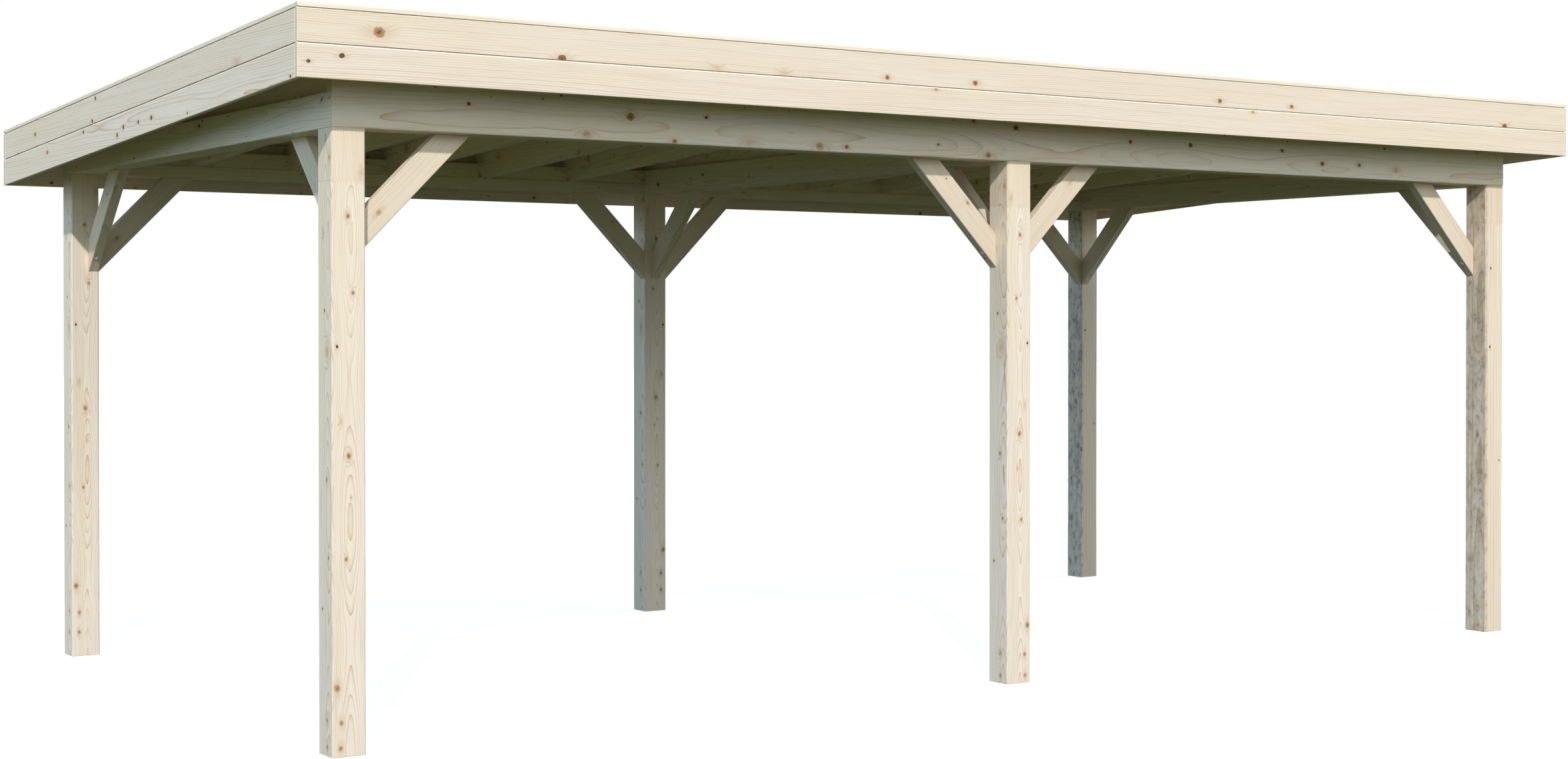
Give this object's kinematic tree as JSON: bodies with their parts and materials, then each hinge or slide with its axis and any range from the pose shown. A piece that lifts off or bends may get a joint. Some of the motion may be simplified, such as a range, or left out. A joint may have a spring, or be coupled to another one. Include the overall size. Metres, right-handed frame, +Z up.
{
  "type": "garden pavilion",
  "caption": "open timber garden pavilion with square posts, knee braces and a flat boarded roof that falls to the back inside a fascia of boards with a cap strip",
  "frame": {"origin": "on the ground under the middle of the roof", "axes": "+X along the long front to the right, +Y to the back, +Z up"},
  "size_m": [6.286, 3.396, 2.4781],
  "materials": {
    "post_spruce": "planed, untreated",
    "beam_spruce": "planed, untreated",
    "fascia_spruce": "planed, untreated",
    "cap_spruce": "planed, untreated"
  },
  "bodies": {
    "root": {"post_front_left": "post_spruce", "post_front_mid": "post_spruce", "post_front_right": "post_spruce", "post_back_left": "post_spruce", "post_back_mid": "post_spruce", "post_back_right": "post_spruce", "front_beam": "beam_spruce", "back_beam": "beam_spruce", "left_beam": "beam_spruce", "right_beam": "beam_spruce", "cross_beam": "beam_spruce", "front_riser": "beam_spruce", "back_riser": "beam_spruce", "back_blocking": "beam_spruce", "braces_front_left": "post_spruce", "braces_front_mid": "post_spruce", "braces_front_right": "post_spruce", "braces_back_left": "post_spruce", "braces_back_mid": "post_spruce", "braces_back_right": "post_spruce", "rafters_left_bay": "beam_spruce", "rafters_right_bay": "beam_spruce", "rafter_left": "beam_spruce", "rafter_mid": "beam_spruce", "rafter_right": "beam_spruce", "roof_boarding": "beam_spruce", "fascia_front_lower": "fascia_spruce", "fascia_front_upper": "fascia_spruce", "fascia_front_cap": "cap_spruce", "fascia_back_lower": "fascia_spruce", "fascia_back_upper": "fascia_spruce", "fascia_back_cap": "cap_spruce", "fascia_left_lower": "fascia_spruce", "fascia_left_upper": "fascia_spruce", "fascia_left_cap": "cap_spruce", "fascia_right_lower": "fascia_spruce", "fascia_right_upper": "fascia_spruce", "fascia_right_cap": "cap_spruce"}
  },
  "joints": []
}
